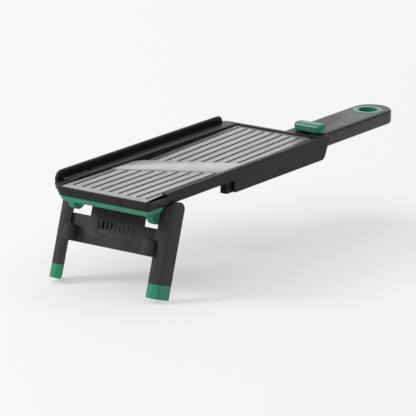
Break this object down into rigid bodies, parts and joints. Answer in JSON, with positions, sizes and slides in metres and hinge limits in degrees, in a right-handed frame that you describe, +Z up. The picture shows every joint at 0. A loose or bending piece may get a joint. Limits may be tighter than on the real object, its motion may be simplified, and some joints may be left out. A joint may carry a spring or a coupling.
{
  "type": "mandoline slicer",
  "caption": "Folding-leg mandoline slicer: ridged steel deck with a slanted blade, a ramp set by a thumb slider on a long handle, a side fence and green grip feet.",
  "frame": {"origin": "on the standing surface, under the middle of the bounding box, with the deck level", "axes": "+Y from the folding legs to the handle, +Z up, +X to the right seen from the leg end"},
  "size_m": [0.116, 0.4048, 0.1022],
  "materials": {
    "black_plastic": "fine moulded texture",
    "leg_plastic": "fine moulded texture, satin",
    "handle_plastic": "satin soft-touch",
    "deck_steel": "satin, brushed along the deck",
    "blade_steel": "ground bright",
    "screw_steel": "plain steel",
    "green_plastic": "satin gloss",
    "green_rubber": "matte soft grip"
  },
  "bodies": {
    "frame": {"side_rail_left": "black_plastic", "side_rail_right": "black_plastic", "front_apron": "black_plastic", "rear_bridge": "black_plastic", "outfeed_carrier": "black_plastic", "outfeed_plate": "deck_steel", "blade": "blade_steel", "blade_bridge": "black_plastic", "blade_screws": "screw_steel", "guide_strip": "screw_steel", "pivot_rod": "screw_steel", "handle_shell": "handle_plastic", "handle_base": "handle_plastic", "handle_screws": "screw_steel", "hang_ring": "green_plastic", "front_grip": "green_rubber", "hinge_block_left": "green_rubber", "hinge_block_right": "green_rubber", "hinge_pin_left": "screw_steel", "hinge_pin_right": "screw_steel"},
    "legs": {"leg_frame": "leg_plastic", "foot_left": "green_rubber", "foot_right": "green_rubber"},
    "ramp": {"ramp_plate": "deck_steel", "ramp_carrier": "black_plastic"},
    "slider": {"slide_bar": "black_plastic", "slider_stem": "black_plastic", "slider_grip": "green_plastic", "slider_screw": "screw_steel", "click_spring": "screw_steel"}
  },
  "joints": [
    {"name": "leg_fold", "type": "hinge", "parent": "frame", "child": "legs", "pos_m": [0, -0.1615, 0.07765], "axis": [1, 0, 0], "range_deg": [0, 106]},
    {"name": "thickness_slide", "type": "slide", "parent": "frame", "child": "slider", "axis": [0, 1, 0], "range_m": [-0.006, 0.009]},
    {"name": "ramp_tilt", "type": "hinge", "parent": "frame", "child": "ramp", "pos_m": [0, 0.0579, 0.08765], "axis": [1, 0, 0], "range_deg": [-1.4, 2.1]}
  ],
  "couplings": [
    {"joint": "ramp_tilt", "follows": "thickness_slide", "rad_per_m": 4}
  ]
}
